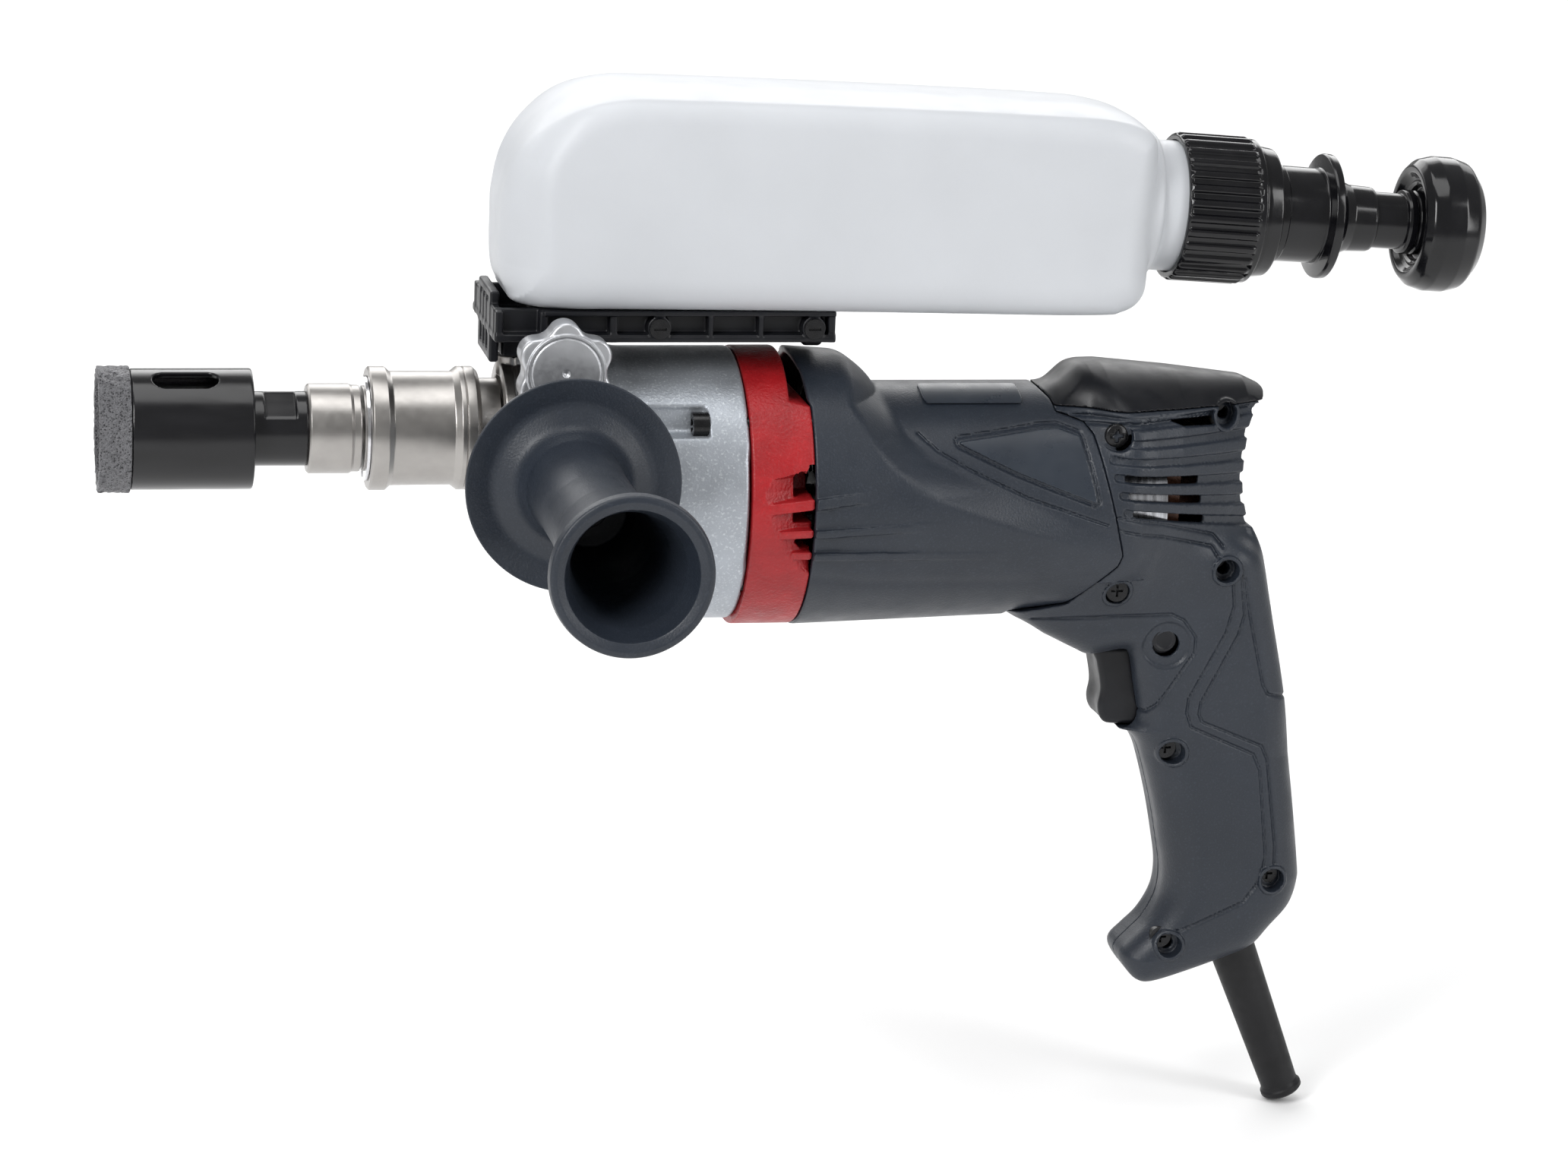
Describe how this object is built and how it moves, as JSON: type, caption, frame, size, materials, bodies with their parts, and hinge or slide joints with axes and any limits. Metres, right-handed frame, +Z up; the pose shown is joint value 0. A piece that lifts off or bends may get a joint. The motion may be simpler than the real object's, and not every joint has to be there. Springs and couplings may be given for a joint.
{
  "type": "wet core drill",
  "caption": "Hand-held electric wet core drill for tile, with core bit, quick-change chuck, side handle, pistol grip, water bottle and hand pump.",
  "frame": {"origin": "centre of the core bit's cutting rim, on the spindle axis", "axes": "+X along the spindle from the bit to the water bottle's pump knob, +Z up to the bottle, the side handle points to -Y"},
  "size_m": [0.4479, 0.2193, 0.3473],
  "materials": {
    "nickel": "satin nickel plate",
    "black_steel": "gloss black coating",
    "diamond": "coarse diamond grit",
    "steel": "ground steel",
    "spring_steel": "bright spring steel",
    "cast_aluminium": "silver-grey paint on cast aluminium",
    "red_paint": "red textured paint",
    "charcoal_plastic": "fine-grained charcoal nylon",
    "black_plastic": "matt black nylon",
    "gloss_black": "polished black",
    "rubber": "soft matt black",
    "milky_plastic": "translucent polyethylene",
    "knob_aluminium": "bright turned aluminium",
    "copper": "enamelled copper",
    "brass": "brass",
    "lamination": "stacked steel sheets",
    "carbon": "carbon",
    "black_screw": "black oxide",
    "label": "printed film"
  },
  "bodies": {
    "casing": {"water_swivel": "cast_aluminium", "swivel_seals": "rubber", "spindle_bearings": "steel", "gear_case": "cast_aluminium", "gear_case_screws": "black_screw", "bearing_plate": "red_paint", "counter_bearings": "steel", "motor_housing": "charcoal_plastic", "motor_bearings": "steel", "stator_stack": "lamination", "field_coils": "copper", "brush_holders": "brass", "carbon_brushes": "carbon", "handle_left": "charcoal_plastic", "handle_right": "charcoal_plastic", "handle_screws": "black_screw", "rating_plate": "label", "side_badges": "label", "switch_body": "black_plastic", "trigger_spring": "spring_steel", "cord_guard": "rubber", "cord_clamp": "black_plastic", "side_handle": "charcoal_plastic", "handle_stud": "steel", "bottle": "milky_plastic", "cap_seal": "rubber", "pump_cylinder": "milky_plastic", "pump_collar": "gloss_black", "bottle_bracket": "black_plastic", "bracket_screws": "black_screw", "valve_body": "black_plastic", "valve_fitting": "brass"},
    "spindle_group": {"diamond_rim": "diamond", "core_bit": "black_steel", "bit_adapter": "nickel", "chuck_body": "nickel", "locking_balls": "spring_steel", "chuck_spring": "spring_steel", "chuck_clip": "spring_steel", "spindle": "steel", "spindle_gear": "steel"},
    "sleeve": {"chuck_sleeve": "nickel"},
    "counter_group": {"countershaft": "steel", "counter_gear": "steel"},
    "armature": {"armature_shaft": "steel", "armature_core": "lamination", "armature_windings": "copper", "commutator": "copper", "cooling_fan": "black_plastic"},
    "trigger": {"trigger": "black_plastic"},
    "lock_button": {"lock_button": "black_plastic"},
    "cap": {"bottle_cap": "gloss_black"},
    "plunger": {"pump_rod": "gloss_black", "pump_piston": "rubber", "pump_knob": "gloss_black"},
    "valve": {"valve_stem": "brass", "valve_knob": "knob_aluminium"}
  },
  "joints": [
    {"name": "spindle_spin", "type": "hinge", "parent": "casing", "child": "spindle_group", "pos_m": [0.14, 0, 0], "axis": [1, 0, 0], "continuous": true},
    {"name": "counter_spin", "type": "hinge", "parent": "casing", "child": "counter_group", "pos_m": [0.18, 0.01947, -0.01942], "axis": [1, 0, 0], "continuous": true},
    {"name": "armature_spin", "type": "hinge", "parent": "casing", "child": "armature", "pos_m": [0.3, 0, -0.024], "axis": [1, 0, 0], "continuous": true},
    {"name": "sleeve_pull", "type": "slide", "parent": "spindle_group", "child": "sleeve", "axis": [1, 0, 0], "range_m": [0, 0.005], "stiffness_N_per_m": 2000, "springref_m": -0.004, "deforming": ["chuck_spring"]},
    {"name": "trigger_pull", "type": "slide", "parent": "casing", "child": "trigger", "axis": [1, 0, 0], "range_m": [0, 0.006], "stiffness_N_per_m": 800, "springref_m": -0.004, "deforming": ["trigger_spring"]},
    {"name": "lock_press", "type": "slide", "parent": "casing", "child": "lock_button", "axis": [0, 1, 0], "range_m": [0, 0.003], "stiffness_N_per_m": 600, "springref_m": -0.002},
    {"name": "cap_turn", "type": "hinge", "parent": "casing", "child": "cap", "pos_m": [0.35696, 0, 0.07164], "axis": [0.9981, 0, -0.061], "range_deg": [0, 360]},
    {"name": "pump_stroke", "type": "slide", "parent": "casing", "child": "plunger", "axis": [0.9981, 0, -0.061], "range_m": [-0.01, 0.045]},
    {"name": "valve_turn", "type": "hinge", "parent": "casing", "child": "valve", "pos_m": [0.1408, -0.04, 0.027], "axis": [0, 1, 0], "range_deg": [0, 270]}
  ],
  "couplings": [
    {"joint": "counter_spin", "follows": "spindle_spin", "ratio": -3},
    {"joint": "armature_spin", "follows": "spindle_spin", "ratio": 10.333}
  ]
}
